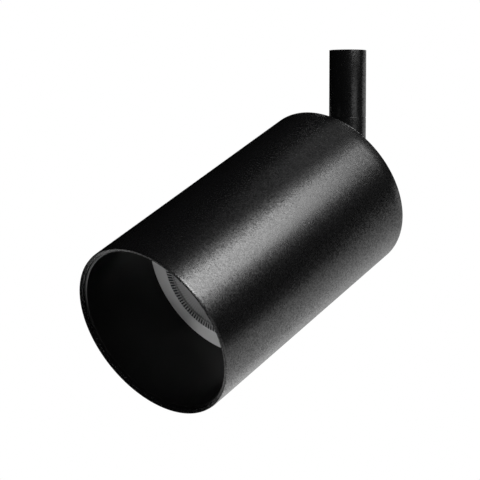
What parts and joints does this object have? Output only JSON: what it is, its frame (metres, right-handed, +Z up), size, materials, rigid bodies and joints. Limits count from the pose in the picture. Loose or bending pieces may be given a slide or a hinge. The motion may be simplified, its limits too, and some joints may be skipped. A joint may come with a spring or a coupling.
{
  "type": "cylinder spotlight",
  "caption": "Black cylinder spotlight with a deep anti-glare mouth and a recessed lens, on a short round stem that swivels and tilts.",
  "frame": {"origin": "middle of the stem's top face, at the mouth of its tapped bore", "axes": "+Z up along the stem, -Y the way the light aims, +X along the tilt pivot"},
  "size_m": [0.06, 0.1167, 0.1179],
  "materials": {
    "black_powder_coat": "fine sand-textured satin powder coat",
    "black_baffle": "satin black",
    "grey_bezel": "satin moulded",
    "frosted_lens": "frosted acrylic",
    "black_steel": "black oxide",
    "spring_steel": "bright",
    "zinc_steel": "zinc plated",
    "bare_aluminium": "as cast",
    "black_nylon": "moulded",
    "grommet_rubber": "soft",
    "white_plastic": "moulded",
    "grey_pad": "soft",
    "board_ceramic": "matt",
    "phosphor": "silicone",
    "red_insulation": "silicone",
    "black_insulation": "silicone"
  },
  "bodies": {
    "stem": {"stem_tube": "black_powder_coat", "swivel_stop_pin": "spring_steel", "swivel_friction_ring": "black_nylon", "swivel_spring_washer": "spring_steel"},
    "knuckle": {"swivel_knuckle": "black_powder_coat", "spigot_circlip": "spring_steel"},
    "head": {"housing_tube": "black_powder_coat", "tilt_lug": "black_powder_coat", "rear_cap": "black_powder_coat", "baffle_sleeve": "black_baffle", "lens_bezel": "grey_bezel", "lens": "frosted_lens", "pivot_screw": "black_steel", "cap_screws": "black_steel", "housing_set_screw": "black_steel", "pivot_spring_washer": "spring_steel", "holder_screws": "zinc_steel", "lug_nut": "zinc_steel", "heat_sink": "bare_aluminium", "tilt_friction_ring": "black_nylon", "lens_carrier": "black_nylon", "lug_grommet": "grommet_rubber", "led_holder": "white_plastic", "thermal_pad": "grey_pad", "led_board": "board_ceramic", "led_emitter": "phosphor", "lead_positive": "red_insulation", "lead_negative": "black_insulation"}
  },
  "joints": [
    {"name": "swivel", "type": "hinge", "parent": "stem", "child": "knuckle", "pos_m": [0, 0, -0.0235], "axis": [0, 0, 1], "range_deg": [-165, 165]},
    {"name": "tilt", "type": "hinge", "parent": "knuckle", "child": "head", "pos_m": [0, 0, -0.0445], "axis": [1, 0, 0], "range_deg": [-25.5, 64.5]}
  ]
}
